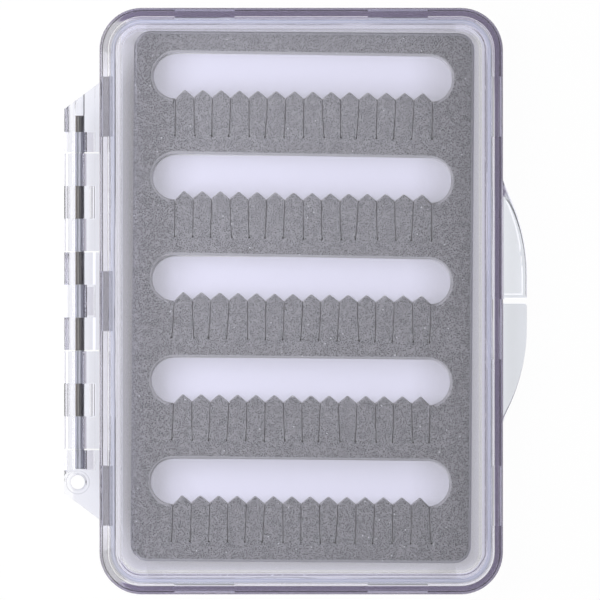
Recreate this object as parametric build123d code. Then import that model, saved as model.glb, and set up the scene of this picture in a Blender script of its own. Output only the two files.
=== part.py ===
from build123d import *
import os

# Slim clear fly box. A shallow tray and a matching lid share one pinned hinge along
# their left side. The tray carries a sealing ring in its rim and a slit foam sheet,
# glued to its floor, that holds the flies. A thumb tab on each half parts them.
#
# Frame: millimetres. +X runs from the hinge to the thumb tabs, +Y along the hinge away
# from the lanyard hole, +Z up. The origin is the middle of the tray's flat underside.
# The closed lid is at rest; it opens about the hinge axis, parallel to Y, through 180 degrees.

# Case: both halves share one outline
case_width = 86.0
case_length = 125.0
case_height = 18.0
corner_radius = 9.0
outer_wall = 1.7
tray_floor = 2.0
lid_roof = 2.0
edge_round = 1.2
parting_height = 9.0
parting_gap = 0.2

# Rim: a channel for the sealing ring, and a raised inner wall that enters the lid
channel_width = 1.95
channel_depth = 2.9
inner_wall = 1.0
inner_wall_rise = 2.5
inner_wall_round = 0.3
floor_round = 0.35
roof_round = 0.8

# Sealing ring, and the tongue of the lid that presses on it
seal_height = 1.9
seal_side_gap = 0.25
tongue_wall = 0.8
tongue_clearance = 0.3
tongue_dip = 0.8

# Closure pads: short thick stretches on the lid wall's inner face
pad_length = 12.8
pad_depth = 0.7
pad_lift = 0.3
pad_corner_distance_x = 22.4
pad_corner_distance_y = 21.0
front_pad_shift = -6.0

# Hinge
hinge_offset = 4.3
barrel_radius = 3.3
pin_radius = 1.0
pin_clearance = 0.05
pin_chamfer = 0.2
knuckle_gap = 0.3
half_shell_lap = 0.5
hinge_end_distance = 15.8
hinge_end_slant = 5.7
end_knuckle_length = 9.35
end_cover_length = 4.4
pin_end_setback = 1.4
pin_end_wall = 0.35
middle_knuckles = 3
saddles_per_knuckle = 3

# Lanyard hole, in the tray's last knuckle
lanyard_radius = 1.5
lanyard_chamfer = 0.4
lanyard_setback = 2.35
lanyard_outset = 0.4
lanyard_relief_radius = 2.5

# Thumb tabs
tab_length = 25.6
tab_reach = 5.2
tab_thickness = 3.0
tab_spacing = 0.9
tab_straight = 5.0
tab_toe_reach = 1.0
tab_toe_length = 2.6
tab_corner = 0.6
lid_tab_round = 1.2
tray_tab_round = 0.4

# Foam sheet and the adhesive film under it
foam_thickness = 6.0
film_inset = 0.3
film_thickness = 0.2
foam_gap_hinge = 2.3
foam_gap_front = 1.7
foam_gap_far = 0.4
foam_gap_near = 2.1
foam_corner = 3.6
foam_skew = -0.4
window_count = 5
window_side_margin = 4.2
window_far_margin = 4.8
window_near_margin = 4.2
window_height = 9.8
slit_count = 15
slit_end_margin = 4.75
slit_length = 8.2
slit_width = 0.2
slit_end_radius = 0.25
tooth_height = 1.5
tooth_root_lift = 0.35

# Heights and places that follow from the sizes above
tray_top = parting_height - parting_gap / 2
lid_bottom = parting_height + parting_gap / 2
roof_underside = case_height - lid_roof
inner_wall_inset = outer_wall + channel_width
cavity_inset = inner_wall_inset + inner_wall
inner_wall_top = tray_top + inner_wall_rise
channel_floor = tray_top - channel_depth
tongue_inner_inset = inner_wall_inset - tongue_clearance
tongue_outer_inset = tongue_inner_inset - tongue_wall
tongue_bottom = lid_bottom - tongue_dip
half_width = case_width / 2
half_length = case_length / 2
hinge_x = -half_width - hinge_offset
hinge_z = parting_height
hinge_half_at_wall = half_length - hinge_end_distance
hinge_half_at_edge = hinge_half_at_wall - hinge_end_slant
middle_half = hinge_half_at_edge - end_knuckle_length
knuckle_pitch = 2 * middle_half / middle_knuckles
bore_radius = pin_radius + pin_clearance
lanyard_x = hinge_x - lanyard_outset
lanyard_y = lanyard_setback - hinge_half_at_edge
relief_end = lanyard_y + lanyard_relief_radius
pin_low = relief_end + pin_end_wall
pin_high = hinge_half_at_edge - pin_end_setback
film_bottom = tray_floor
foam_bottom = film_bottom + film_thickness
foam_width = case_width - 2 * cavity_inset - foam_gap_hinge - foam_gap_front
foam_length = case_length - 2 * cavity_inset - foam_gap_far - foam_gap_near
foam_x = (foam_gap_hinge - foam_gap_front) / 2
foam_y = (foam_gap_near - foam_gap_far) / 2
window_width = foam_width - 2 * window_side_margin
window_cell = window_height - tooth_root_lift + slit_length
window_span = foam_length - window_far_margin - window_near_margin - window_cell
window_pitch = window_span / (window_count - 1)
slit_pitch = (window_width - 2 * slit_end_margin) / (slit_count - 1)


def outline(inset):
    """The case outline in plan, moved in by inset."""
    return RectangleRounded(case_width - 2 * inset, case_length - 2 * inset, corner_radius - inset)


def slab(inset, low, high):
    """The case outline, moved in by inset, as a solid between two heights."""
    return extrude(Pos(0, 0, low) * outline(inset), amount=high - low)


def ring(outer_inset, inner_inset, low, high):
    """An upright wall that follows the case outline between two insets."""
    return slab(outer_inset, low, high) - slab(inner_inset, low, high)


def block(x_low, x_high, y_low, y_high, z_low, z_high):
    """A box between two corners."""
    middle = Pos((x_low + x_high) / 2, (y_low + y_high) / 2, (z_low + z_high) / 2)
    return middle * Box(x_high - x_low, y_high - y_low, z_high - z_low)


def hinge_rod(radius, y_low, y_high):
    """A cylinder on the hinge axis."""
    return Pos(hinge_x, (y_low + y_high) / 2, hinge_z) * Rot(X=90) * Cylinder(radius, y_high - y_low)


def half_shell(y_low, y_high, covers_pin):
    """Half of the hinge barrel: over the pin, or under it with the pin bare from above."""
    z_low = hinge_z - half_shell_lap if covers_pin else hinge_z - barrel_radius
    z_high = hinge_z + barrel_radius if covers_pin else hinge_z + half_shell_lap
    x_low = hinge_x - barrel_radius
    x_high = hinge_x + barrel_radius
    return hinge_rod(barrel_radius, y_low, y_high) & block(x_low, x_high, y_low, y_high, z_low, z_high)


def tray_web(y_low, y_high):
    """The arm, below the parting plane, that joins a knuckle to the tray's wall."""
    x_high = outer_wall / 2 - half_width
    return block(hinge_x, x_high, y_low, y_high, hinge_z - barrel_radius, tray_top)


def lid_web(y_low, y_high, covers_pin):
    """The arm, above the parting plane, that joins a knuckle to the lid's wall."""
    x_low = hinge_x if covers_pin else hinge_x + bore_radius
    x_high = outer_wall / 2 - half_width
    return block(x_low, x_high, y_low, y_high, lid_bottom, hinge_z + barrel_radius)


def hinge_plan():
    """The hinge's outline in plan, with its two slanted ends, as a tall prism."""
    x_wall = outer_wall / 2 - half_width
    x_edge = hinge_x - barrel_radius
    face_x = -half_width
    points = [
        (x_wall, -hinge_half_at_wall),
        (face_x, -hinge_half_at_wall),
        (x_edge, -hinge_half_at_edge),
        (x_edge, hinge_half_at_edge),
        (face_x, hinge_half_at_wall),
        (x_wall, hinge_half_at_wall),
    ]
    return extrude(make_face(Polyline(*points, close=True)), amount=case_height)


def knuckle_saddles(index):
    """The low end, the high end and the kind of each half shell of a middle knuckle."""
    low = -middle_half + index * knuckle_pitch + knuckle_gap / 2
    high = low + knuckle_pitch - knuckle_gap
    step = (high - low) / saddles_per_knuckle
    on_tray = index % 2 == 1
    saddles = []
    for place in range(saddles_per_knuckle):
        covers_pin = (place % 2 == 1) == on_tray
        saddles.append((low + place * step, low + (place + 1) * step, covers_pin))
    return saddles


def lid_knuckles():
    """The lid's knuckles: every other middle knuckle, first and last included."""
    parts = Part()
    for index in range(0, middle_knuckles, 2):
        for low, high, covers_pin in knuckle_saddles(index):
            parts += half_shell(low, high, covers_pin) + lid_web(low, high, covers_pin)
    return parts - hinge_rod(bore_radius, -middle_half, middle_half)


def tray_knuckles():
    """The tray's knuckles: the middle ones between the lid's, and one at each end."""
    parts = Part()
    for index in range(1, middle_knuckles, 2):
        for low, high, covers_pin in knuckle_saddles(index):
            parts += half_shell(low, high, covers_pin) + tray_web(low, high)
    start = middle_half + knuckle_gap / 2
    cover_end = middle_half + end_cover_length
    parts += half_shell(start, cover_end, True)
    parts += half_shell(cover_end, hinge_half_at_wall, False)
    parts += tray_web(start, hinge_half_at_wall)
    parts += half_shell(lanyard_y, -start, True)
    parts += tray_web(-hinge_half_at_wall, -start)
    parts -= hinge_rod(bore_radius, pin_low - pin_clearance, hinge_half_at_wall)
    return (parts + lanyard_lug()) & hinge_plan()


def lanyard_lug():
    """The flat plate past the pin's low end, before its hole is cut."""
    x_low = hinge_x - barrel_radius
    x_high = outer_wall / 2 - half_width
    return block(x_low, x_high, -hinge_half_at_wall, relief_end, hinge_z - barrel_radius, tray_top)


def lanyard_cut():
    """The chamfered lanyard hole, and the round relief above the plate around it."""
    low = hinge_z - barrel_radius
    drill = Pos(lanyard_x, lanyard_y, (low + tray_top) / 2) * Cylinder(lanyard_radius, tray_top - low)
    drill = chamfer_tool(drill, low)
    relief_height = 2 * barrel_radius
    relief = Pos(lanyard_x, lanyard_y, tray_top + relief_height / 2)
    relief *= Cylinder(lanyard_relief_radius, relief_height)
    x_high = hinge_x + barrel_radius
    relief += block(lanyard_x, x_high, lanyard_y, relief_end, tray_top, tray_top + relief_height)
    return drill + relief


def chamfer_tool(drill, low):
    """The drill with a cone at each mouth of the hole."""
    wide = lanyard_radius + lanyard_chamfer
    z_high = tray_top - lanyard_chamfer / 2
    z_low = low + lanyard_chamfer / 2
    drill += Pos(lanyard_x, lanyard_y, z_high) * Cone(lanyard_radius, wide, lanyard_chamfer)
    drill += Pos(lanyard_x, lanyard_y, z_low) * Cone(wide, lanyard_radius, lanyard_chamfer)
    return drill


def tab(side, z_low, rounding):
    """A half-lens thumb tab on the front wall; side is +1 for +Y and -1 for -Y."""
    x_root = half_width - outer_wall
    x_tip = half_width + tab_reach
    x_toe = half_width + tab_toe_reach
    y_start = tab_spacing / 2
    y_straight = y_start + tab_straight
    y_toe = y_start + tab_length - tab_toe_length
    y_end = y_start + tab_length
    root = Line((x_root, y_start), (x_tip, y_start))
    edge = Line((x_tip, y_start), (x_tip, y_straight))
    bow = TangentArc((x_tip, y_straight), (x_toe, y_toe), tangent=(0, 1))
    toe = Polyline((x_toe, y_toe), (half_width, y_end), (x_root, y_end), (x_root, y_start))
    plan = make_face(Curve() + [root, edge, bow, toe])
    solid = extrude(Pos(0, 0, z_low) * plan, amount=tab_thickness)
    solid = fillet(upright_edge(solid, x_tip, y_start), tab_corner)
    top_edges = solid.faces().sort_by(Axis.Z)[-1].edges()
    outer = [edge for edge in top_edges if edge.center().X > half_width]
    solid = fillet(outer, rounding)
    return solid if side > 0 else mirror(solid, Plane.XZ)


def upright_edge(solid, x, y):
    """The vertical edge of a solid that stands at a point of its plan."""
    return solid.edges().filter_by(Axis.Z).sort_by_distance((x, y, 0))[0]


def pads():
    """The closure pads on the inner face of the lid's wall."""
    z_low = lid_bottom + pad_lift
    root = outer_wall / 2
    reach = outer_wall + pad_depth
    half = pad_length / 2
    solids = Part()
    for x in (pad_corner_distance_x - half_width, half_width - pad_corner_distance_x):
        for y_low, y_high in ((half_length - reach, half_length - root), (root - half_length, reach - half_length)):
            solids += block(x - half, x + half, y_low, y_high, z_low, roof_underside)
    far_y = half_length - pad_corner_distance_y
    for y in (far_y, 0, -far_y):
        solids += block(root - half_width, reach - half_width, y - half, y + half, z_low, roof_underside)
    for y in (far_y, front_pad_shift, -far_y):
        solids += block(half_width - reach, half_width - root, y - half, y + half, z_low, roof_underside)
    return solids


def base_tray():
    """The lower half: floor, rim with its channel, raised inner wall, hinge arms and tab."""
    shell = slab(0, 0, tray_top)
    shell = fillet(shell.faces().sort_by(Axis.Z)[0].edges(), edge_round)
    shell -= ring(outer_wall, inner_wall_inset, channel_floor, tray_top)
    raised = ring(inner_wall_inset, cavity_inset, channel_floor, inner_wall_top)
    shell += fillet(raised.faces().sort_by(Axis.Z)[-1].edges(), inner_wall_round)
    cavity = slab(cavity_inset, tray_floor, inner_wall_top)
    shell -= fillet(cavity.faces().sort_by(Axis.Z)[0].edges(), floor_round)
    shell += tab(-1, tray_top - tab_thickness, tray_tab_round)
    shell += tray_knuckles()
    return shell - lanyard_cut()


def lid():
    """The upper half: roof, wall with its pads, the tongue over the seal, hinge arms and tab."""
    shell = slab(0, lid_bottom, case_height)
    shell = fillet(shell.faces().sort_by(Axis.Z)[-1].edges(), edge_round)
    hollow = slab(outer_wall, lid_bottom, roof_underside)
    shell -= fillet(hollow.faces().sort_by(Axis.Z)[-1].edges(), roof_round)
    shell += ring(tongue_outer_inset, tongue_inner_inset, tongue_bottom, roof_underside)
    shell += pads()
    shell += tab(1, lid_bottom, lid_tab_round)
    return shell + lid_knuckles()


def hinge_pin():
    """The plain steel pin through all the knuckles, chamfered at both ends."""
    rod = hinge_rod(pin_radius, pin_low, pin_high)
    return chamfer(rod.edges().filter_by(GeomType.CIRCLE), pin_chamfer)


def sealing_ring():
    """The silicone ring that lies in the tray's channel."""
    outer = outer_wall + seal_side_gap
    inner = inner_wall_inset - seal_side_gap
    return ring(outer, inner, channel_floor, channel_floor + seal_height)


def sheet_outline(inset=0):
    """The foam sheet's outline in plan, or one that lies inset from it."""
    return RectangleRounded(foam_width - 2 * inset, foam_length - 2 * inset, foam_corner - inset)


def window_plan(top):
    """One long window, round at both ends, with a row of pointed teeth along its lower edge."""
    middle = top - window_height / 2
    plan = Pos(0, middle) * SlotOverall(window_width, window_height)
    bottom = top - window_height
    root = bottom + tooth_root_lift
    first = slit_end_margin - window_width / 2
    points = [(first, bottom)]
    for tooth in range(slit_count - 1):
        points.append((first + (tooth + 0.5) * slit_pitch, root + tooth_height))
        points.append((first + (tooth + 1) * slit_pitch, root))
    points[-1] = (-first, bottom)
    return plan - make_face(Polyline(*points, close=True))


def slit_plan(top):
    """The slits that run down from the valleys between a window's teeth."""
    root = top - window_height + tooth_root_lift
    plan = Sketch()
    for slit in range(slit_count):
        x = slit_end_margin - window_width / 2 + slit * slit_pitch
        plan += Pos(x, root - slit_length / 2) * Rectangle(slit_width, slit_length + slit_width)
        plan += Pos(x, root - slit_length) * Circle(slit_end_radius)
    return plan


def window_tops():
    """The upper edge of each window, from the far end of the sheet."""
    first = foam_length / 2 - window_far_margin
    return [first - row * window_pitch for row in range(window_count)]


def laid_on_floor(plan, low, thickness):
    """A flat sheet at its place on the tray's floor, slightly askew as it was glued."""
    return Pos(foam_x, foam_y, low) * Rot(Z=foam_skew) * extrude(plan, amount=thickness)


def foam_sheet():
    """The slit foam sheet."""
    plan = sheet_outline()
    for top in window_tops():
        plan -= window_plan(top)
        plan -= slit_plan(top)
    return laid_on_floor(plan, foam_bottom, foam_thickness)


def adhesive_film():
    """The thin film that glues the foam down, a little smaller and cut with the same windows."""
    plan = sheet_outline(film_inset)
    for top in window_tops():
        plan -= window_plan(top)
    return laid_on_floor(plan, film_bottom, film_thickness)


def main():
    """Write one STEP file for each piece."""
    os.makedirs("parts", exist_ok=True)
    pieces = {
        "base_tray": base_tray(),
        "lid": lid(),
        "hinge_pin": hinge_pin(),
        "sealing_ring": sealing_ring(),
        "foam_sheet": foam_sheet(),
        "adhesive_film": adhesive_film(),
    }
    for name, piece in pieces.items():
        export_step(piece, f"parts/{name}.step")


main()
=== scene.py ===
"""Looks of the slim clear fly box, made around its construction model."""

import math
import random
from contextlib import contextmanager
from functools import reduce

import bmesh
import bpy
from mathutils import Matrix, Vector


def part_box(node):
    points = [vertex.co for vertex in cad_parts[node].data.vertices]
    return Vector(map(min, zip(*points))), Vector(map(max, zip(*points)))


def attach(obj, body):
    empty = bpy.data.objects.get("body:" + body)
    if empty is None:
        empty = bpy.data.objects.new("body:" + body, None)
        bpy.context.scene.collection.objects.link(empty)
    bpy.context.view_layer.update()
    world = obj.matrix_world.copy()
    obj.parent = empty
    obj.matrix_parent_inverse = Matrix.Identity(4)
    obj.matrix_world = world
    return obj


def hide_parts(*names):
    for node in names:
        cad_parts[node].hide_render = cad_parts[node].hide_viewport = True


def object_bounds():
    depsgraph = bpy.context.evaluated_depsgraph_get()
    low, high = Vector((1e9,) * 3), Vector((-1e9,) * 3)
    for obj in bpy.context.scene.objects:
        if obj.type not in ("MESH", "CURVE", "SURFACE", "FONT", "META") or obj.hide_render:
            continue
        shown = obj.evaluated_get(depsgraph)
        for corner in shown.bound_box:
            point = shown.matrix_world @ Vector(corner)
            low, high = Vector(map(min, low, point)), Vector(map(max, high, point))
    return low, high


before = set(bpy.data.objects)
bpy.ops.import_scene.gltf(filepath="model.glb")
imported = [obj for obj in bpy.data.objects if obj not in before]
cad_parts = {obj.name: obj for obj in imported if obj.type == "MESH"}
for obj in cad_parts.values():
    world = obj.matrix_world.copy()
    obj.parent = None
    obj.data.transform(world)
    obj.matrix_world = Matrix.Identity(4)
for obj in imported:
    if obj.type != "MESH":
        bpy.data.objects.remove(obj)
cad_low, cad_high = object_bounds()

bl_info = {
    "name": "Clear fly box",
    "version": (1, 0, 0),
    "blender": (4, 5, 0),
    "location": "View3D > Sidebar > Fly box",
    "description": "Makes the foam and the seal of a clear fly box and finishes its shells and pin",
    "category": "Object",
}

MM = 0.001
WHITE = (1.0, 1.0, 1.0)
BLACK = (0.0, 0.0, 0.0)

# The case and its foam, as in the construction model. The hinge side is at -X and the tabs are at +X
CASE_WIDTH = 86.0 * MM
CASE_LENGTH = 125.0 * MM
HALF_WIDTH = CASE_WIDTH / 2
HALF_LENGTH = CASE_LENGTH / 2
CASE_CORNER = 9.0 * MM
OUTER_WALL = 1.7 * MM
CHANNEL_WIDTH = 1.95 * MM
SEAL_SIDE_GAP = 0.25 * MM
# Closure pads: half of one's length, where the outer ones lie, and the shift of the front side's middle one
PAD_HALF = 6.4 * MM
PAD_X = HALF_WIDTH - 22.4 * MM
PAD_Y = HALF_LENGTH - 21.0 * MM
FRONT_PAD_SHIFT = -6.0 * MM
# Hinge: its pin's axis, half its length, a knuckle's length and how far from the middle knuckles alternate
HINGE_X = -47.3 * MM
HINGE_HALF = 36.0 * MM
SADDLE_LENGTH = 7.03 * MM
SADDLES_HALF = 31.5 * MM
LANYARD_HOLE = (-47.7 * MM, -38.7 * MM)
RIM_WIDTH = 1.9 * MM
FOAM_WIDTH = 72.7 * MM
FOAM_LENGTH = 113.2 * MM
FOAM_PLACE = (0.3 * MM, 0.85 * MM, 0.0)
FOAM_TURN = math.radians(-0.4)
SLIT_COUNT = 15
SLIT_PARTS = 8
# How far each row of the die-cut windows is turned in the sheet, in degrees
ROW_TURNS = (-0.45, -0.6, -0.65, -0.2, -0.2)

# A row takes in this much over its window. Teeth and slits start at these shares of the window's height
ROW_SPARE = 1 * MM
TEETH_FROM = 0.6
SLITS_FROM = 0.94

# The stage
FLOOR_COLOUR = (0.9, 0.9, 0.9)
PICTURE_CENTRE = (-0.254 * MM, 0.239 * MM)
FLOOR_SIZE = 12.0
FLOOR_DEPTH = 0.3 * MM
VIEW_END = 50.0

# Seeds of what is laid or cut by hand, and how many times the laid ring is pushed sideways
RING_SEED = 4
RING_PUSHES = 40
SLIT_SEED = 11

# Clear plastic: how it bends light, and what lamp light loses in it
PLASTIC_IOR = 1.49
SHADOW_TINT = (0.94, 0.94, 0.97)

# Two points nearer than this are at the same place
SAME_PLACE = 0.01 * MM
# The width of a sharp step in a colour
STEP = 0.1 * MM


# ------------------------------------------------------------------ shader maths


class Value:
    """A number that changes over a surface. Arithmetic on it adds Math nodes."""

    def __init__(self, graph, socket):
        self.graph = graph
        self.socket = socket

    def maths(self, operation, *operands):
        node = self.graph.node("Math", {"operation": operation}, dict(enumerate(operands)))
        return Value(self.graph, node.outputs[0])

    def __add__(self, other):
        return self.maths("ADD", self, other)

    def __radd__(self, other):
        return self.maths("ADD", other, self)

    def __sub__(self, other):
        return self.maths("SUBTRACT", self, other)

    def __rsub__(self, other):
        return self.maths("SUBTRACT", other, self)

    def __mul__(self, other):
        return self.maths("MULTIPLY", self, other)

    def __rmul__(self, other):
        return self.maths("MULTIPLY", other, self)

    def __truediv__(self, other):
        return self.maths("DIVIDE", self, other)

    def __pow__(self, other):
        return self.maths("POWER", self, other)

    def __abs__(self):
        return self.maths("ABSOLUTE", self)

    def sine(self):
        return self.maths("SINE", self)

    def least(self, other):
        return self.maths("MINIMUM", self, other)

    def most(self, other):
        return self.maths("MAXIMUM", self, other)

    def rise(self, low, high):
        """0 below low, 1 above high and a smooth step between them."""
        settings = {"interpolation_type": "SMOOTHSTEP"}
        node = self.graph.node("MapRange", settings, {"Value": self, "From Min": low, "From Max": high})
        return Value(self.graph, node.outputs[0])

    def fall(self, low, high):
        """1 below low, 0 above high and a smooth step between them."""
        return 1 - self.rise(low, high)

    def past(self, place):
        """0 up to a place and 1 past it, in one sharp step."""
        return self.rise(place, place + STEP)

    def up_to(self, place):
        """1 up to a place and 0 past it, in one sharp step."""
        return self.fall(place, place + STEP)

    def band(self, low, high, blur=STEP):
        """1 between low and high, fading to 0 over blur at both ends."""
        half = blur / 2
        return self.rise(low - half, low + half) * self.fall(high - half, high + half)


class Graph:
    """A node tree while it is put together."""

    def __init__(self, tree):
        self.tree = tree
        self.tree.nodes.clear()

    def node(self, kind, settings=None, inputs=None):
        """A new node: its settings are set first, then its sockets are set or linked."""
        node = self.tree.nodes.new("ShaderNode" + kind)
        for name, value in (settings or {}).items():
            setattr(node, name, value)
        for name, value in (inputs or {}).items():
            self.feed(node.inputs[name], value)
        return node

    def feed(self, socket, value):
        """Set one input socket, or link it."""
        if isinstance(value, Value):
            self.tree.links.new(value.socket, socket)
        elif isinstance(value, bpy.types.NodeSocket):
            self.tree.links.new(value, socket)
        elif socket.type == "RGBA":
            socket.default_value = (*value[:3], 1.0)
        else:
            socket.default_value = value

    def rays(self, *kinds):
        """1 for rays of any of these kinds and 0 for the rest."""
        path = self.node("LightPath")
        return reduce(Value.most, [Value(self, path.outputs[kind]) for kind in kinds])

    def shader_mix(self, share, first, second):
        """Part of one shader and part of another."""
        return self.node("MixShader", None, {0: share, 1: first, 2: second}).outputs[0]


class Finish(Graph):
    """A material while its nodes are put together."""

    def __init__(self, name):
        self.material = bpy.data.materials.new(name)
        self.material.use_nodes = True
        super().__init__(self.material.node_tree)
        self.output = self.node("OutputMaterial")
        coordinates = self.node("TexCoord")
        self.point = coordinates.outputs["Object"]
        self.x, self.y, self.z = self.parts_of(self.point)
        self.facing_x, self.facing_y, self.facing_up = self.parts_of(coordinates.outputs["Normal"])

    def parts_of(self, vector):
        """The three numbers of a vector."""
        node = self.node("SeparateXYZ", None, {0: vector})
        return [Value(self, socket) for socket in node.outputs]

    def colour_mix(self, share, first, second):
        """A colour between two others."""
        settings = {"data_type": "RGBA", "blend_type": "MIX", "clamp_factor": True}
        node = self.node("Mix", settings, {0: share, 6: first, 7: second})
        return node.outputs[2]

    def layered(self, colour, *layers):
        """A colour with others laid over it in turn; a layer is how much it covers and its colour."""
        for share, layer in layers:
            colour = self.colour_mix(share, colour, layer)
        return colour

    def noise(self, size, detail=2.0, roughness=0.5, stretch=(1.0, 1.0, 1.0)):
        """Soft noise of a given grain size, in metres, from about 0 to 1."""
        place = self.node("Mapping", None, {"Vector": self.point, "Scale": stretch}).outputs[0]
        inputs = {"Vector": place, "Scale": 1 / size, "Detail": detail, "Roughness": roughness}
        return Value(self, self.node("TexNoise", None, inputs).outputs[0])

    def cells(self, size):
        """The distance to the nearest of scattered points, in cells."""
        node = self.node("TexVoronoi", {"feature": "F1"}, {"Vector": self.point, "Scale": 1 / size})
        return Value(self, node.outputs[0])

    def bump(self, height, depth):
        """A normal from a height of 0 to 1, which stands depth metres high."""
        node = self.node("Bump", None, {"Height": height, "Distance": depth, "Strength": 1.0})
        return node.outputs[0]

    def principled(self, **sockets):
        """The main shader, its sockets named with underscores for spaces."""
        inputs = {name.replace("_", " "): value for name, value in sockets.items()}
        return self.node("BsdfPrincipled", None, inputs).outputs[0]

    def show(self, surface):
        """Put a shader on the surface and give the finished material."""
        self.feed(self.output.inputs["Surface"], surface)
        return self.material

    def let_light_through(self, surface, tint):
        """Clear plastic that lets lamps and soft light reach what lies behind it."""
        clear = self.node("BsdfTransparent", None, {"Color": tint}).outputs[0]
        return self.shader_mix(self.rays("Is Shadow Ray", "Is Diffuse Ray"), surface, clear)


# --------------------------------------------------------------------- modelling


def deselect():
    """Leave edit mode and select nothing."""
    if bpy.context.object and bpy.context.object.mode != "OBJECT":
        bpy.ops.object.mode_set(mode="OBJECT")
    bpy.ops.object.select_all(action="DESELECT")


def take(piece):
    """Select one piece and make it the active one."""
    deselect()
    piece.select_set(True)
    bpy.context.view_layer.objects.active = piece


@contextmanager
def editing(piece, kind):
    """Edit mode on one piece, with nothing selected; kind is VERT, EDGE or FACE."""
    take(piece)
    bpy.ops.object.mode_set(mode="EDIT")
    bpy.ops.mesh.select_mode(type=kind)
    bpy.ops.mesh.select_all(action="DESELECT")
    yield
    bpy.ops.object.mode_set(mode="OBJECT")


def pick(kind, test):
    """In edit mode, select the vertices, edges or faces that pass a test, and nothing else."""
    bpy.ops.mesh.select_all(action="DESELECT")
    piece = bpy.context.edit_object
    mesh = bmesh.from_edit_mesh(piece.data)
    items = {"VERT": mesh.verts, "EDGE": mesh.edges, "FACE": mesh.faces}[kind]
    count = 0
    for item in items:
        if test(item):
            item.select_set(True)
            count += 1
    mesh.select_flush_mode()
    bmesh.update_edit_mesh(piece.data)
    return count


def settle(piece):
    """Apply the piece's place, turn and scale, so that its place is in its mesh."""
    take(piece)
    bpy.ops.object.transform_apply(location=True, rotation=True, scale=True)


def box_between(name, low, high):
    """A new box between two corners."""
    deselect()
    low, high = Vector(low), Vector(high)
    bpy.ops.mesh.primitive_cube_add(size=1, location=(low + high) / 2, scale=high - low)
    box = bpy.context.object
    box.name = name
    settle(box)
    return box


def upright(edge):
    """True for an edge that runs along Z."""
    run = edge.verts[1].co - edge.verts[0].co
    return abs(run.z) > 0.99 * run.length


def finish_modifier(piece, kind, **settings):
    """Add a modifier, set it and apply it."""
    take(piece)
    modifier = piece.modifiers.new(kind.title(), kind)
    for name, value in settings.items():
        setattr(modifier, name, value)
    bpy.ops.object.modifier_apply(modifier=modifier.name)


def cut_out(piece, cutter):
    """Take the shape of a cutter out of a piece, and remove the cutter."""
    finish_modifier(piece, "BOOLEAN", operation="DIFFERENCE", solver="EXACT", object=cutter)
    bpy.data.objects.remove(cutter)


def joined(pieces, name):
    """Several pieces as one."""
    deselect()
    for piece in pieces:
        piece.select_set(True)
    bpy.context.view_layer.objects.active = pieces[0]
    bpy.ops.object.join()
    pieces[0].name = name
    return pieces[0]


def slice_at(x):
    """In edit mode, cut across the whole piece at one place along X."""
    bpy.ops.mesh.select_all(action="SELECT")
    bpy.ops.mesh.bisect(plane_co=(x, 0, 0), plane_no=(1, 0, 0))


def smooth(piece, angle=35.0):
    """Smooth shading, with the sharper edges kept."""
    take(piece)
    bpy.ops.object.shade_smooth_by_angle(angle=math.radians(angle))


def copy_of(piece, name):
    """A copy of a piece with its own mesh."""
    take(piece)
    bpy.ops.object.duplicate(linked=False)
    made = bpy.context.object
    made.name = name
    return made


def put_material(piece, material):
    """Give a piece one material."""
    if piece.data.materials:
        for slot in piece.material_slots:
            slot.material = material
    else:
        piece.data.materials.append(material)


# ---------------------------------------------------------------------- settings


def colour_property(name, description, default):
    """A colour that can be changed in the panel."""
    return bpy.props.FloatVectorProperty(
        name=name, description=description, default=default, subtype="COLOR", size=3, min=0.0, max=1.0
    )


def number_property(name, description, default, **kind):
    """A number from 0 up that can be changed in the panel."""
    return bpy.props.FloatProperty(name=name, description=description, default=default, min=0.0, **kind)


def length_property(name, description, default):
    """A length that can be changed in the panel."""
    return number_property(name, description, default, unit="LENGTH", precision=5)


def share_property(name, description, default):
    """A share of 0 to 1 that can be changed in the panel."""
    return number_property(name, description, default, subtype="FACTOR", max=1.0)


class StageSettings(bpy.types.PropertyGroup):
    """Floor, lamps and camera."""

    camera_height: length_property("Camera height", "Height of the camera over the lid", 4.0)
    frame_width: length_property("Frame width", "What the picture is wide at the lid", 0.12782)
    glow_seen: share_property(
        "Floor glow", "How much of the floor's white is glow, as seen past the box", 0.975
    )
    glow_through: share_property(
        "Floor glow through plastic", "The same, as seen through the clear shells", 0.54
    )
    soft_light: number_property("Soft light", "Level of the light from all round", 0.40)
    key_light: number_property("Key light", "Power of the main lamp", 0.78, unit="POWER")
    fill_light: number_property("Fill light", "Power of the second lamp", 0.6, unit="POWER")


class ShellSettings(bpy.types.PropertyGroup):
    """Clear plastic of the lid and the tray."""

    plate_tint: colour_property("Plate", "What a flat wall lets through", (0.90, 0.895, 0.965))
    hinge_tint: colour_property("Hinge", "What the hinge lets through", (0.80, 0.805, 0.86))
    # Painted shade: the dark colour of the lanyard hole's edge rings
    hole_shade_tint: colour_property("Hole", "What the lanyard hole's edges let through", (0.40, 0.40, 0.48))
    # Painted shade: the dark colour of the rim band seen on end
    rim_shade_tint: colour_property("Rim", "What the rim lets through, seen on end", (0.43, 0.395, 0.50))
    # Painted shade: the darker rim beside a pad, also the colour of the painted shade lines and patches
    painted_shade_tint: colour_property("Rim at a pad", "What the rim lets through at a pad", (0.25, 0.22, 0.30))
    # Painted shade: the colour of the foam's shade on the tray's floor, beside the foam and at the windows'
    # ends, and in the corner hollows
    floor_shade_tint: colour_property("Strip", "What the floor lets through at the foam", (0.38, 0.375, 0.365))
    tab_tint: colour_property("Tab", "What a thumb tab lets through", (0.94, 0.965, 1.0))
    floor_tint: colour_property("Floor", "What the floor lets through", (0.90, 0.895, 0.90))
    # Painted shade: the grey of the hinge side's pads seen on end
    hinge_pad_shade: colour_property("Hinge pads", "What these pads let through", (0.41, 0.40, 0.43))
    # Painted light: the colour of the glow at rounded edges
    glow_colour: colour_property("Glow", "Light that comes out at rounded edges", (0.52, 0.52, 0.56))
    roughness: share_property("Roughness", "Roughness of the polished plastic", 0.015)


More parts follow.
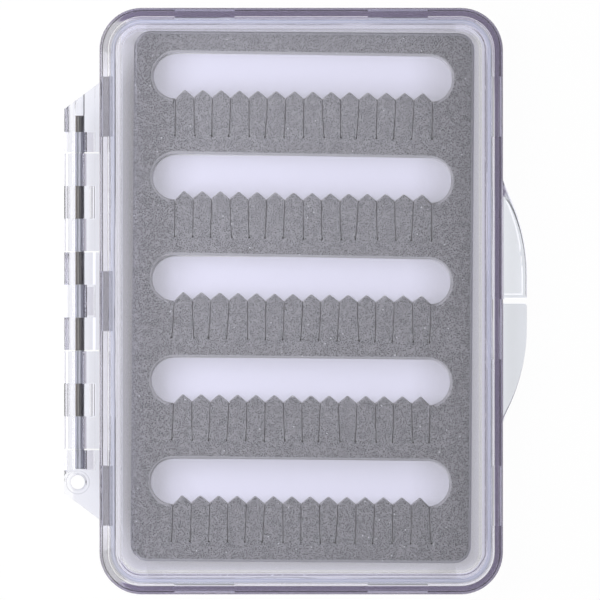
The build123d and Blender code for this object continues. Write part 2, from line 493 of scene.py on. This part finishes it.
class SealSettings(bpy.types.PropertyGroup):
    """Sealing ring in the tray's channel."""

    colour: colour_property("Seal colour", "Colour of the silicone", (0.80, 0.81, 0.85))
    rib_colour: colour_property("Rib colour", "Colour between the ring's fine ribs", (0.36, 0.42, 0.58))
    rib_pitch: length_property("Rib pitch", "From one fine rib to the next", 0.5 * MM)
    edge_round: length_property("Edge round", "Roundness of the ring's four edges", 0.5 * MM)
    waviness: length_property("Waviness", "How far the laid ring strays sideways", 0.12 * MM)
    wave_reach: length_property("Wave reach", "Length of ring that strays together", 7.0 * MM)


class FoamSettings(bpy.types.PropertyGroup):
    """Slit foam sheet."""

    light_colour: colour_property("Light grain", "Colour between the pores", (0.275, 0.273, 0.272))
    dark_colour: colour_property("Dark grain", "Colour of the foam's pores", (0.025, 0.025, 0.028))
    # Painted highlight: the colour laid on the rounded cut edges
    cut_edge_highlight: colour_property("Cut edge", "Colour of the rounded cut edges", (0.50, 0.496, 0.496))
    sheet_corner: length_property("Sheet corner", "Corner radius of the sheet", 3.6 * MM)
    side_margin: length_property("Side margin", "From a window's end to the sheet's side", 4.2 * MM)
    front_trim: length_property("Front trim", "How much shorter a window is at its front end", 0.5 * MM)
    far_margin: length_property("Far margin", "From the first window to the sheet's far edge", 4.8 * MM)
    window_pitch: length_property("Window pitch", "From one window to the next", 21.63 * MM)
    window_height: length_property("Window height", "A window's height with its teeth", 9.8 * MM)
    slit_end_margin: length_property("Slit end margin", "From a window's end to a slit", 4.75 * MM)
    slit_length: length_property("Slit length", "Length of a slit", 8.2 * MM)
    slit_width: length_property("Slit width", "Opening of a slit", 0.14 * MM)
    slit_end_radius: length_property("Slit end", "Radius of the small hole that ends a slit", 0.2 * MM)
    tooth_height: length_property("Tooth height", "Height of a tooth", 1.65 * MM)
    root_lift: length_property("Root lift", "Height of a valley over the window's lower edge", 0.35 * MM)
    tip_round: length_property("Tip round", "How far the tip of a tooth is rounded", 0.35 * MM)
    edge_soft: length_property("Soft edge", "Roundness of the cut upper edges", 0.8 * MM)
    tooth_share: share_property("Tooth share", "How much of that roundness the teeth have", 0.35)


GROUPS = {
    "fly_box_stage": StageSettings,
    "fly_box_shell": ShellSettings,
    "fly_box_seal": SealSettings,
    "fly_box_foam": FoamSettings,
}


# ------------------------------------------------------------------------- stage


def look_down_camera(settings):
    """A camera straight above the lid, with +Y at the top of its picture."""
    data = bpy.data.cameras.new("Camera")
    data.lens = data.sensor_width * settings.camera_height / settings.frame_width
    data.clip_end = VIEW_END
    camera = bpy.data.objects.new("Camera", data)
    camera.location = (*PICTURE_CENTRE, cad_high.z + settings.camera_height)
    bpy.context.scene.collection.objects.link(camera)
    bpy.context.scene.camera = camera


def soft_world(settings):
    """White all round: a plain level of light on things, and full white as a background."""
    world = bpy.data.worlds.new("Studio")
    bpy.context.scene.world = world
    world.use_nodes = True
    graph = Graph(world.node_tree)
    light = graph.node("Background", None, {"Color": WHITE, "Strength": settings.soft_light})
    seen = graph.node("Background", None, {"Color": WHITE, "Strength": 1.0})
    share = graph.rays("Is Camera Ray", "Is Glossy Ray", "Is Transmission Ray")
    surface = graph.shader_mix(share, light.outputs[0], seen.outputs[0])
    graph.node("OutputWorld", None, {"Surface": surface})


def lamp(name, place, size, power):
    """A soft square lamp that faces the box and can't be seen itself."""
    data = bpy.data.lights.new(name, "AREA")
    data.size = size
    data.energy = power
    made = bpy.data.objects.new(name, data)
    made.location = place
    made.rotation_euler = (-Vector(place)).to_track_quat("-Z", "Y").to_euler()
    made.visible_camera = False
    made.visible_glossy = False
    made.visible_transmission = False
    bpy.context.scene.collection.objects.link(made)


def floor_material(settings):
    """Pale floor that reads as white and still keeps the box's shadow."""
    finish = Finish("pale_floor")
    plain = finish.node("BsdfDiffuse", None, {"Color": FLOOR_COLOUR})
    glow = finish.node("Emission", None, {"Color": WHITE, "Strength": 1.0})
    past = finish.rays("Is Camera Ray")
    through = finish.rays("Is Transmission Ray", "Is Glossy Ray")
    share = past * settings.glow_seen + through * settings.glow_through
    return finish.show(finish.shader_mix(share, plain.outputs[0], glow.outputs[0]))


class FLYBOX_OT_stage(bpy.types.Operator):
    """Set up the floor, the light and the camera"""

    bl_idname = "fly_box.stage"
    bl_label = "Stage"

    def execute(self, context):
        settings = context.scene.fly_box_stage
        look_down_camera(settings)
        soft_world(settings)
        lamp("key_lamp", place=(-0.16, 0.02, 0.21), size=0.16, power=settings.key_light)
        lamp("fill_lamp", place=(0.9, 0.5, 0.7), size=0.7, power=settings.fill_light)
        deselect()
        bpy.ops.mesh.primitive_plane_add(size=FLOOR_SIZE, location=(0, 0, -FLOOR_DEPTH))
        floor = bpy.context.object
        floor.name = "floor"
        put_material(floor, floor_material(settings))
        context.scene.view_settings.view_transform = "Standard"
        return {"FINISHED"}


# ------------------------------------------------------------------------ shells


def slant(across, along):
    """The length of a straight line that runs this far across and along."""
    return (across ** 2 + along ** 2) ** 0.5


def inset_from_outline(finish):
    """How far a point lies inside the case's outline, seen from above."""
    over_x = abs(finish.x) - (HALF_WIDTH - CASE_CORNER)
    over_y = abs(finish.y) - (HALF_LENGTH - CASE_CORNER)
    corner = slant(over_x.most(0), over_y.most(0))
    return CASE_CORNER - corner - over_x.most(over_y).least(0)


def off_hinge_side(finish):
    """0 along the hinge side and 1 along the other three, changing at the two hinge corners."""
    return finish.x.rise(-HALF_WIDTH, 8 * MM - HALF_WIDTH)


def near_side(finish):
    """1 along the short side that the lanyard hole is nearer to."""
    return finish.y.fall(-56 * MM, -54 * MM)


def front_or_near_side(finish):
    """1 along the side with the tabs and along the near short side."""
    return finish.x.rise(36 * MM, 38 * MM).most(near_side(finish))


def beside_pads(finish):
    """1 along the outline where a closure pad makes the wall thick, off the hinge side."""
    from_side = abs(abs(finish.x) - PAD_X)
    from_end = abs(abs(finish.y) - PAD_Y)
    from_middle = abs(finish.y - FRONT_PAD_SHIFT)
    short_sides = from_side.up_to(PAD_HALF) * abs(finish.y).past(55 * MM)
    front = from_end.least(from_middle).up_to(PAD_HALF) * finish.x.past(36 * MM)
    return short_sides.most(front)


def dark_rim_shade(finish, inset, flat, pads):
    """Painted shade: the dark band where the outer wall is seen on end, widest at the far end, with a point
    at each hinge corner and none along the hinge side, and two paler painted highlight lines in it.
    """
    away = off_hinge_side(finish)
    far_end = finish.y.rise(40 * MM, 56 * MM) * 0.25
    off_near_end = finish.y.rise(-56 * MM, -40 * MM) * 0.1
    front = finish.x.rise(36 * MM, 40 * MM) * 0.1
    widened = (far_end + off_near_end - front - pads * 0.2) * MM
    wall = (away * (RIM_WIDTH + widened) - inset).rise(-0.15 * MM, 0.15 * MM)
    wall = wall * inset.past(-0.2 * MM) * flat * away.rise(0.02, 0.12)
    long_line = inset.band(0.3 * MM, 0.6 * MM, 0.2 * MM) * 0.1
    end_line = inset.band(0.5 * MM, 0.8 * MM, 0.15 * MM) * abs(finish.y).rise(54 * MM, 57 * MM) * 0.6
    return wall * (1 - long_line.most(end_line) * (1 - pads))


def on_floor(finish):
    """1 on the tray's floor and 0 on what stands up from it."""
    return finish.z.fall(2.2 * MM, 2.6 * MM)


def hinge_side_line(finish, inset, flat):
    """Painted shade: the thin dark edge that the outer wall shows on the hinge side."""
    near_hinge = finish.x.fall(-41.5 * MM, -40.5 * MM)
    return inset.band(0.05 * MM, 0.45 * MM, 0.2 * MM) * flat * near_hinge


def hinge_side_pads(finish, flat):
    """Painted shade: the three closure pads of the hinge side, seen on end."""
    from_middle = abs(finish.y)
    middle = from_middle.fall(PAD_HALF - STEP / 2, PAD_HALF + STEP / 2)
    ends = from_middle.band(PAD_Y - PAD_HALF, PAD_Y + PAD_HALF)
    across = (finish.x + HALF_WIDTH).band(0.25 * MM, 2.85 * MM, 0.15 * MM)
    return middle.most(ends) * across * flat


def covered_spans(finish):
    """1 where a knuckle covers the pin and 0 where the pin lies open."""
    turns = finish.y * (math.pi / SADDLE_LENGTH) + math.pi / 2
    from_middle = abs(finish.y)
    middle = turns.sine().rise(-0.05, 0.05) * from_middle.up_to(SADDLES_HALF)
    ends = from_middle.band(SADDLES_HALF, HINGE_HALF + STEP)
    return middle.most(ends)


def hinge_shade(finish):
    """Painted shade: grey patches beside the pin under its covers, and a grey outer edge where the pin is
    bare.
    """
    across = finish.x - HINGE_X
    from_middle = abs(finish.y)
    covered = covered_spans(finish)
    bare = from_middle.up_to(HINGE_HALF) * (1 - covered)
    by_tray = from_middle.up_to(3 * MM).most(from_middle.band(31.7 * MM, HINGE_HALF))
    under_tray_covers = across.band(1.2 * MM, 3 * MM, 0.15 * MM) * by_tray * 0.55
    under_lid_covers = across.band(0.9 * MM, 1.45 * MM) * covered * (1 - by_tray) * 0.6
    outer_edge = across.fall(-3.3 * MM, -1.7 * MM) * bare * 0.35
    return under_tray_covers.most(outer_edge).most(under_lid_covers)


def beside_foam(finish, inset):
    """1 on the tray's floor between its inner wall and the foam."""
    return inset.band(4.65 * MM, 7.3 * MM, 0.2 * MM) * on_floor(finish)


def floor_strip_shade(finish, inset):
    """Painted shade on the strip of the tray's floor between its inner wall and the foam, darker near the
    foam, on the hinge side and at the far end, and a painted dark line on that wall's inner edge.
    """
    hinge_side = finish.x.fall(-35.6 * MM, -34.6 * MM) * abs(finish.y).fall(44 * MM, 56.5 * MM)
    far_side = finish.y.rise(54 * MM, 56 * MM)
    near_foam = inset.rise(4.6 * MM, 7.2 * MM) * (0.28 + hinge_side * 0.1)
    depth = 0.17 + near_foam + hinge_side * 0.46 + far_side * 0.2
    wall_edge = inset.band(4.3 * MM, 4.7 * MM, 0.15 * MM) * finish.x.fall(30 * MM, 34 * MM) * 0.18
    return (beside_foam(finish, inset) * depth).most(wall_edge)


def window_ends(finish):
    """The shade of the foam on the floor at the two ends of its windows."""
    inside = abs(finish.x).fall(33 * MM, 33.2 * MM)
    front_end = finish.x.rise(22 * MM, 32 * MM) * 0.38
    hinge_end = finish.x.fall(-32 * MM, -27 * MM) * 0.32
    return front_end.most(hinge_end) * inside * on_floor(finish)


def dotted_line(finish, inset):
    """Painted shadow: the broken dark line where the front and near sides of the seal meet the inner wall.
    """
    broken = finish.noise(1.1 * MM, 2.0, 0.6, (1.0, 1.0, 0.0)).rise(0.3, 0.42)
    line = (inset - near_side(finish) * 0.36 * MM).band(3.67 * MM, 3.88 * MM, 0.08 * MM)
    on_lid = finish.z.past(15 * MM)
    return line * front_or_near_side(finish) * broken * on_lid


def highlight_lines(finish, inset):
    """Painted highlights: the paler lines along the front and near sides, outside the seal and on the inner
    wall's edge.
    """
    outer = inset.band(1.75 * MM, 2.75 * MM, 0.15 * MM)
    inner = inset.band(4.45 * MM, 5.1 * MM, 0.2 * MM)
    return outer.most(inner) * front_or_near_side(finish)


def corner_pocket_shade(finish, inset):
    """Painted shade where hollows lie behind the two hinge corners: a little greyer than what lies round
    them.
    """
    away = slant(finish.x + 39.7 * MM, abs(finish.y) - 56.4 * MM)
    shade = away.fall(3.6 * MM, 4.0 * MM) * 0.2 + away.fall(3.6 * MM, 8.5 * MM) * 0.16
    return shade * inset.band(0.6 * MM, 2.9 * MM, 0.3 * MM)


def hole_rings(finish):
    """Painted shade: dark rings at the edge of the lanyard hole, at its chamfer and at the boss round it.
    """
    away = slant(finish.x - LANYARD_HOLE[0], finish.y - LANYARD_HOLE[1])
    edge = away.band(1.4 * MM, 1.6 * MM) * 0.5
    chamfer = away.band(1.6 * MM, 1.9 * MM) * 0.2
    boss = away.band(2.4 * MM, 2.55 * MM) * 0.4
    return edge.most(chamfer).most(boss)


def edge_glow(finish, inset, pads):
    """Painted light: a glow for the light that comes out of the clear plastic at its rounded edges, at the
    knuckles, the hinge seam, the tabs with a painted highlight streak, and beside the front pads.
    """
    across = finish.x - HINGE_X
    steep = abs(finish.facing_up).band(0.15, 0.6, 0.15)
    covered = covered_spans(finish)
    knuckles = across.fall(-2.5 * MM, -2.3 * MM) * steep * covered
    seam = across.band(2.8 * MM, 3.4 * MM) * (1 - covered) * abs(finish.y).up_to(HINGE_HALF)
    on_tab = finish.x.past(HALF_WIDTH + 0.3 * MM)
    streak = finish.facing_up.band(0.965, 0.997, 0.01) * finish.y.past(0)
    on_lid = finish.z.past(17.8 * MM)
    front_pads = pads * inset.band(1.9 * MM, 2.4 * MM) * finish.x.rise(38 * MM, 39 * MM) * on_lid
    tabs = on_tab * (steep * 0.8 + streak * 0.5)
    return knuckles.most(seam * 0.3).most(tabs).most(front_pads * 0.25)


def clear_plastic(settings):
    """Polished clear plastic with a faint lavender tint, with painted shade where its rim is seen on end,
    and painted shade, painted highlights and a painted glow along its other edges and on the tray's floor.
    """
    finish = Finish("clear_plastic")
    inset = inset_from_outline(finish)
    flat = abs(finish.facing_up).rise(0.05, 0.35)
    pads = beside_pads(finish)
    hinge = finish.x.fall(-0.3 * MM - HALF_WIDTH, -HALF_WIDTH)
    tab = finish.x.past(HALF_WIDTH + 0.05 * MM)
    hinge_side = finish.x.fall(-38.6 * MM, -38.2 * MM) * (1 - hinge)
    # Painted light: the plastic's tint is whitened on the outer side of the knuckles
    outer_knuckle_light = finish.x.fall(-49.0 * MM, -48.3 * MM)
    # Painted shade: the rim band is darker still beside the closure pads
    at_pads = inset.fall(0.5 * MM, 0.7 * MM) * pads
    rim_shade_colour = finish.colour_mix(at_pads * 0.6, settings.rim_shade_tint, settings.painted_shade_tint)
    colour = finish.layered(
        settings.plate_tint,
        (hinge, settings.hinge_tint),
        (highlight_lines(finish, inset), WHITE),
        ((beside_foam(finish, inset) * 0.7).most(hinge_side * 0.6), settings.floor_tint),
        (outer_knuckle_light * 0.5, WHITE),
        (hinge_shade(finish), settings.painted_shade_tint),
        (tab, settings.tab_tint),
        (floor_strip_shade(finish, inset).most(window_ends(finish)), settings.floor_shade_tint),
        (corner_pocket_shade(finish, inset), settings.floor_shade_tint),
        (hole_rings(finish), settings.hole_shade_tint),
        (dotted_line(finish, inset) * 0.85, settings.painted_shade_tint),
        (hinge_side_pads(finish, flat) * 0.65, settings.hinge_pad_shade),
        (hinge_side_line(finish, inset, flat) * 0.8, settings.painted_shade_tint),
        (dark_rim_shade(finish, inset, flat, pads), rim_shade_colour),
    )
    surface = finish.principled(
        Base_Color=colour,
        Roughness=settings.roughness,
        IOR=PLASTIC_IOR,
        Transmission_Weight=1.0,
        # painted glow at the rounded edges
        Emission_Color=finish.colour_mix(edge_glow(finish, inset, pads), BLACK, settings.glow_colour),
        Emission_Strength=1.0,
    )
    return finish.show(finish.let_light_through(surface, SHADOW_TINT))


class FLYBOX_OT_shells(bpy.types.Operator):
    """Finish the lid and the tray as clear plastic"""

    bl_idname = "fly_box.shells"
    bl_label = "Clear shells"

    def execute(self, context):
        plastic = clear_plastic(context.scene.fly_box_shell)
        for name in ("lid", "base_tray"):
            put_material(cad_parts[name], plastic)
        return {"FINISHED"}


# --------------------------------------------------------------------------- pin


# Colours of the steel, as it lies bare and as it is seen through a knuckle: a painted sheen on its left
# edge and on its sides, and paler painted light, with painted shade on its left edge, under a knuckle
STEEL = (0.16, 0.155, 0.165)
STEEL_LEFT_SHEEN = (0.19, 0.165, 0.15)
STEEL_SPECK = (0.40, 0.39, 0.38)
STEEL_SIDE_SHEEN = (0.75, 0.75, 0.77)
LIT_VEILED_STEEL = (0.60, 0.61, 0.66)
VEILED_EDGE_SHADE = (0.42, 0.42, 0.45)
# Painted reflections along the pin, as dark and pale stripes: their start, end and blur in mm from its
# axis, their strength and their colour
BARE_REFLECTION_LINES = (
    (-0.10, 0.06, 0.10, 0.7, (0.06, 0.06, 0.06)),
    (-0.40, -0.15, 0.20, 0.7, (0.27, 0.26, 0.25)),
)
VEILED_REFLECTION_LINES = (
    (-0.45, -0.20, 0.12, 0.7, (0.24, 0.24, 0.25)),
    (-0.10, 0.15, 0.12, 0.9, (0.92, 0.92, 0.94)),
    (0.30, 0.42, 0.12, 0.6, (0.66, 0.68, 0.72)),
)


def line_layers(across, lines):
    """Layers of colour for lines along the pin."""
    return [(across.band(low, high, blur) * share, colour) for low, high, blur, share, colour in lines]


def drawn_steel():
    """Drawn wire with fine streaks along it, painted reflections in stripes along it and a painted sheen on
    its sides, and paler painted light where a knuckle lies over it.
    """
    finish = Finish("drawn_steel")
    streak = finish.noise(0.35 * MM, 3.0, 0.7, (1.0, 0.03, 1.0))
    speck = finish.noise(0.4 * MM, 2.0, 0.6)
    across = (finish.x - HINGE_X) / MM + (streak - 0.5) * 0.5
    bare = finish.layered(
        STEEL_LEFT_SHEEN,
        (across.rise(-0.75, -0.5), STEEL),
        *line_layers(across, BARE_REFLECTION_LINES),
        (speck.rise(0.55, 0.75) * 0.3, STEEL_SPECK),
    )
    veiled = finish.layered(
        VEILED_EDGE_SHADE, (across.rise(-0.8, -0.5), LIT_VEILED_STEEL), *line_layers(across, VEILED_REFLECTION_LINES)
    )
    # Painted sheen: steel turned sideways is paler
    turned_away = abs(finish.facing_x).rise(0.8, 0.95)
    surface = finish.principled(
        Base_Color=finish.layered(bare, (covered_spans(finish), veiled), (turned_away, STEEL_SIDE_SHEEN)),
        Metallic=0.9,
        Roughness=0.28 + streak * 0.2,
        Normal=finish.bump(streak, 0.01 * MM),
    )
    return finish.show(surface)


class FLYBOX_OT_pin(bpy.types.Operator):
    """Finish the hinge pin as drawn steel wire"""

    bl_idname = "fly_box.pin"
    bl_label = "Hinge pin"

    def execute(self, context):
        put_material(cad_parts["hinge_pin"], drawn_steel())
        return {"FINISHED"}


# -------------------------------------------------------------------------- seal


def wavy_ring(settings):
    """The silicone ring, bent round the corners, rounded in section and laid a little unevenly."""
    low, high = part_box("sealing_ring")
    ring = box_between("seal", low, high)
    with editing(ring, "EDGE"):
        pick("EDGE", upright)
        corner = CASE_CORNER - OUTER_WALL - SEAL_SIDE_GAP
        bpy.ops.mesh.bevel(offset=corner, segments=12, affect="EDGES")
    with editing(ring, "FACE"):
        pick("FACE", lambda face: abs(face.normal.z) > 0.5)
        bpy.ops.mesh.delete(type="ONLY_FACE")
        long_side = 20 * MM * (high.z - low.z)
        pick("FACE", lambda face: face.calc_area() > long_side)
        bpy.ops.mesh.subdivide(number_cuts=40)
    with editing(ring, "VERT"):
        bpy.ops.mesh.select_all(action="SELECT")
        bpy.ops.mesh.remove_doubles(threshold=SAME_PLACE / 10)
    chance = random.Random(RING_SEED)
    for push in range(RING_PUSHES):
        angle = chance.uniform(0, 2 * math.pi)
        x, y = high.x * math.cos(angle), high.y * math.sin(angle)
        shift = chance.uniform(-1, 1) * settings.waviness
        with editing(ring, "VERT"):
            pick("VERT", lambda vert: abs(vert.co.x - x) + abs(vert.co.y - y) < 3 * MM)
            bpy.ops.transform.translate(
                value=(shift, shift, 0),
                use_proportional_edit=True,
                proportional_edit_falloff="SMOOTH",
                proportional_size=settings.wave_reach,
            )
    finish_modifier(ring, "SOLIDIFY", thickness=CHANNEL_WIDTH - 2 * SEAL_SIDE_GAP, offset=-1.0)
    return ring


def bluish_silicone(settings):
    """Cloudy pale silicone with fine ribs along the ring, and painted light that whitens its sides and
    underside.
    """
    finish = Finish("bluish_silicone")
    cloud = finish.noise(3.0 * MM, 3.0, 0.6)
    ribs = (inset_from_outline(finish) * (2 * math.pi / settings.rib_pitch)).sine().rise(0.3, 0.9)
    colour = finish.layered(
        settings.colour,
        (cloud * 0.4, WHITE),
        (ribs * (0.25 + cloud * 0.5), settings.rib_colour),
        # Painted light: the ring's sides and underside are whitened, lifting their shade
        (finish.facing_up.fall(0.5, 0.95), WHITE),
    )
    roughness = 0.3 + cloud * 0.15
    surface = finish.principled(Base_Color=colour, Roughness=roughness, Transmission_Weight=0.25)
    return finish.show(surface)


class FLYBOX_OT_seal(bpy.types.Operator):
    """Model the sealing ring"""

    bl_idname = "fly_box.seal"
    bl_label = "Sealing ring"

    def execute(self, context):
        settings = context.scene.fly_box_seal
        ring = wavy_ring(settings)
        with editing(ring, "EDGE"):
            pick("EDGE", lambda edge: edge.calc_face_angle(0) > 1.2)
            bpy.ops.mesh.bevel(offset=settings.edge_round, segments=4, affect="EDGES")
        smooth(ring, 50)
        put_material(ring, bluish_silicone(settings))
        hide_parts("sealing_ring")
        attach(ring, "tray")
        return {"FINISHED"}


# -------------------------------------------------------------------------- foam


def window_width(settings):
    """A window's width, from one round end to the other."""
    return FOAM_WIDTH - 2 * settings.side_margin


def slit_pitch(settings):
    """The distance from one slit to the next."""
    return (window_width(settings) - 2 * settings.slit_end_margin) / (SLIT_COUNT - 1)


def window_cutter(settings, low, high):
    """One window's shape: round at both ends, with a row of teeth up from its lower side."""
    half = window_width(settings) / 2
    height = settings.window_height
    first = settings.slit_end_margin - half
    cutter = box_between("window_cutter", (-half, -height, low), (half - settings.front_trim, 0, high))
    with editing(cutter, "EDGE"):
        pick("EDGE", upright)
        nearly_half = height / 2 - 0.05 * MM
        bpy.ops.mesh.bevel(offset=nearly_half, segments=12, affect="EDGES")
    stations = [first + step * slit_pitch(settings) / 2 for step in range(2 * SLIT_COUNT - 1)]
    with editing(cutter, "VERT"):
        for x in stations:
            slice_at(x)
        for step, x in enumerate(stations[1:-1], start=1):
            lift = settings.root_lift + (settings.tooth_height if step % 2 else 0)
            pick("VERT", lambda vert: abs(vert.co.x - x) < SAME_PLACE and vert.co.y < -height / 2)
            bpy.ops.transform.translate(value=(0, lift, 0))
    tip = settings.root_lift + settings.tooth_height - height
    with editing(cutter, "EDGE"):
        pick("EDGE", lambda edge: upright(edge) and abs(edge.verts[0].co.y - tip) < SAME_PLACE)
        bpy.ops.mesh.bevel(offset=settings.tip_round, segments=2, affect="EDGES")
    return cutter


def slit_cutter(settings, low, high):
    """A closed cut that runs along X from the origin, with a small round hole at its end."""
    half = settings.slit_width / 2
    start = -0.3 * MM
    cutter = box_between("slit_cutter", (start, -half, low), (settings.slit_length, half, high))
    with editing(cutter, "FACE"):
        for part in range(1, SLIT_PARTS):
            slice_at(settings.slit_length * part / SLIT_PARTS)
    deselect()
    bpy.ops.mesh.primitive_cylinder_add(
        vertices=14,
        radius=settings.slit_end_radius,
        depth=high - low,
        location=(settings.slit_length, 0, (low + high) / 2),
    )
    hole = bpy.context.object
    settle(hole)
    finish_modifier(cutter, "BOOLEAN", operation="UNION", solver="EXACT", object=hole)
    bpy.data.objects.remove(hole)
    return cutter


def place_copies(settings, window, slit):
    """Copies of the window and of its slits, each set down one by one, so never quite straight."""
    chance = random.Random(SLIT_SEED)
    windows, slits = [], []
    top = FOAM_LENGTH / 2 - settings.far_margin
    first = settings.slit_end_margin - window_width(settings) / 2
    valley = settings.root_lift - settings.window_height
    for row, turn in enumerate(ROW_TURNS):
        y = top - row * settings.window_pitch
        made = copy_of(window, "window")
        made.location.y = y
        made.rotation_euler.z = math.radians(turn)
        settle(made)
        windows.append(made)
        for step in range(SLIT_COUNT):
            x = first + step * slit_pitch(settings)
            made = copy_of(slit, "slit")
            bend = math.radians(chance.uniform(-6, 6))
            finish_modifier(made, "SIMPLE_DEFORM", deform_method="BEND", deform_axis="Z", angle=bend)
            made.location = (x, y + valley + x * math.radians(turn), 0)
            made.rotation_euler.z = math.radians(turn - 90 + chance.uniform(-1, 1))
            settle(made)
            slits.append(made)
    return joined(windows, "windows"), joined(slits, "slits")


def on_top_rim(edge, top):
    """True for an edge where the flat top meets a side or a cut."""
    ups = [abs(face.normal.z) > 0.9 for face in edge.link_faces]
    level = all(abs(vert.co.z - top) < SAME_PLACE for vert in edge.verts)
    return level and any(ups) and not all(ups)


def softness(edge, settings):
    """How far an upper edge of the sheet is rounded: a slit's not at all, a tooth's a little."""
    x, y, _ = (edge.verts[0].co + edge.verts[1].co) / 2
    over_first = FOAM_LENGTH / 2 - settings.far_margin - y + ROW_SPARE
    down = (over_first % settings.window_pitch - ROW_SPARE) / settings.window_height
    reach = window_width(settings) / 2 - settings.slit_end_margin + 0.5 * MM
    on_outer_side = abs(y) > FOAM_LENGTH / 2 - 0.1 * MM
    if abs(x) > reach or down < TEETH_FROM or on_outer_side:
        return 1.0
    return settings.tooth_share if down < SLITS_FROM else 0.0


def slit_foam(settings):
    """The sheet, cut with its windows and slits, its upper edges softened."""
    low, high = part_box("foam_sheet")
    half = Vector((FOAM_WIDTH / 2, FOAM_LENGTH / 2, 0))
    sheet = box_between("foam", (-half.x, -half.y, low.z), (half.x, half.y, high.z))
    with editing(sheet, "EDGE"):
        pick("EDGE", upright)
        bpy.ops.mesh.bevel(offset=settings.sheet_corner, segments=8, affect="EDGES")
    below, above = low.z - 1 * MM, high.z + 1 * MM
    window = window_cutter(settings, below, above)
    slit = slit_cutter(settings, below, above)
    windows, slits = place_copies(settings, window, slit)
    bpy.data.objects.remove(window)
    bpy.data.objects.remove(slit)
    cut_out(sheet, windows)
    cut_out(sheet, slits)
    with editing(sheet, "EDGE"):
        for share in (1.0, settings.tooth_share):
            pick("EDGE", lambda edge: on_top_rim(edge, high.z) and softness(edge, settings) == share)
            bpy.ops.transform.edge_bevelweight(value=share)
    soft = {"width": settings.edge_soft, "segments": 4, "use_clamp_overlap": False}
    finish_modifier(sheet, "BEVEL", limit_method="WEIGHT", **soft)
    sheet.location = FOAM_PLACE
    sheet.rotation_euler.z = FOAM_TURN
    settle(sheet)
    smooth(sheet)
    return sheet


def grey_foam(settings):
    """Closed-cell foam: fine dark pores and a few white grains, with a painted highlight on its rounded cut
    edges, painted light on its cut walls and painted light in its middle.
    """
    finish = Finish("grey_foam")
    pores = finish.cells(0.3 * MM).fall(0.25, 0.5)
    cloud = finish.noise(1.2 * MM, 2.0, 0.7).rise(0.3, 0.7)
    white_grain = finish.cells(2.2 * MM).fall(0.05, 0.08)
    to_front_or_near = finish.facing_x.most(finish.facing_y * -1).most(0)
    rounded = finish.facing_up.fall(0.9, 0.97) * finish.x.rise(-35.4 * MM, -35.2 * MM)
    off_slits = abs(finish.x).rise(27.8 * MM, 28.2 * MM).most(abs(finish.facing_y).rise(0.8, 0.9))
    steep = finish.facing_up.fall(0.3, 0.75) * off_slits
    # Painted light: the foam is paler in its middle, more so towards the far end
    middle = abs(finish.x).fall(20 * MM, 33 * MM)
    paler_to_far_end = 0.015 + finish.y.rise(-50 * MM, 50 * MM) * 0.045
    colour = finish.layered(
        settings.light_colour,
        (pores.most(cloud * 0.3), settings.dark_colour),
        # painted highlight on the rounded cut edges, more on those turned to the front and the near side
        (rounded * (0.4 + to_front_or_near * 0.6), settings.cut_edge_highlight),
        # painted light that lifts the shade on steep cut walls turned to the front and the near side
        (steep * to_front_or_near * 0.7, WHITE),
        (middle * paler_to_far_end, WHITE),
        (white_grain * 0.5, WHITE),
    )
    normal = finish.bump(1 - pores, 0.03 * MM)
    return finish.show(finish.principled(Base_Color=colour, Roughness=0.95, Normal=normal))


def mottled_adhesive():
    """Pale dull adhesive."""
    finish = Finish("adhesive")
    colour = finish.colour_mix(finish.noise(2.0 * MM, 3.0, 0.6), (0.72, 0.72, 0.70), (0.86, 0.86, 0.84))
    return finish.show(finish.principled(Base_Color=colour, Roughness=0.5))


class FLYBOX_OT_foam(bpy.types.Operator):
    """Model the slit foam sheet and finish the film under it"""

    bl_idname = "fly_box.foam"
    bl_label = "Slit foam"

    def execute(self, context):
        settings = context.scene.fly_box_foam
        sheet = slit_foam(settings)
        put_material(sheet, grey_foam(settings))
        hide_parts("foam_sheet")
        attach(sheet, "tray")
        put_material(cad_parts["adhesive_film"], mottled_adhesive())
        return {"FINISHED"}


OPERATORS = (FLYBOX_OT_stage, FLYBOX_OT_shells, FLYBOX_OT_pin, FLYBOX_OT_seal, FLYBOX_OT_foam)


class FLYBOX_PT_panel(bpy.types.Panel):
    """The steps that dress the fly box"""

    bl_idname = "FLYBOX_PT_panel"
    bl_label = "Fly box"
    bl_space_type = "VIEW_3D"
    bl_region_type = "UI"
    bl_category = "Fly box"

    def draw(self, context):
        for operator in OPERATORS:
            self.layout.operator(operator.bl_idname)
        for name, group in GROUPS.items():
            box = self.layout.box()
            box.label(text=group.__doc__)
            for key in group.__annotations__:
                box.prop(getattr(context.scene, name), key)


def register():
    """Add the settings, the operators and the panel."""
    for group in GROUPS.values():
        bpy.utils.register_class(group)
    for operator in OPERATORS:
        bpy.utils.register_class(operator)
    bpy.utils.register_class(FLYBOX_PT_panel)
    for name, group in GROUPS.items():
        setattr(bpy.types.Scene, name, bpy.props.PointerProperty(type=group))


def unregister():
    """Take them away again, the last one first."""
    for name in GROUPS:
        delattr(bpy.types.Scene, name)
    bpy.utils.unregister_class(FLYBOX_PT_panel)
    for operator in reversed(OPERATORS):
        bpy.utils.unregister_class(operator)
    for group in reversed(GROUPS.values()):
        bpy.utils.unregister_class(group)


def main():
    """Run every step in order."""
    register()
    for operator in OPERATORS:
        group, name = operator.bl_idname.split(".")
        getattr(getattr(bpy.ops, group), name)()


if __name__ == "__main__":
    main()
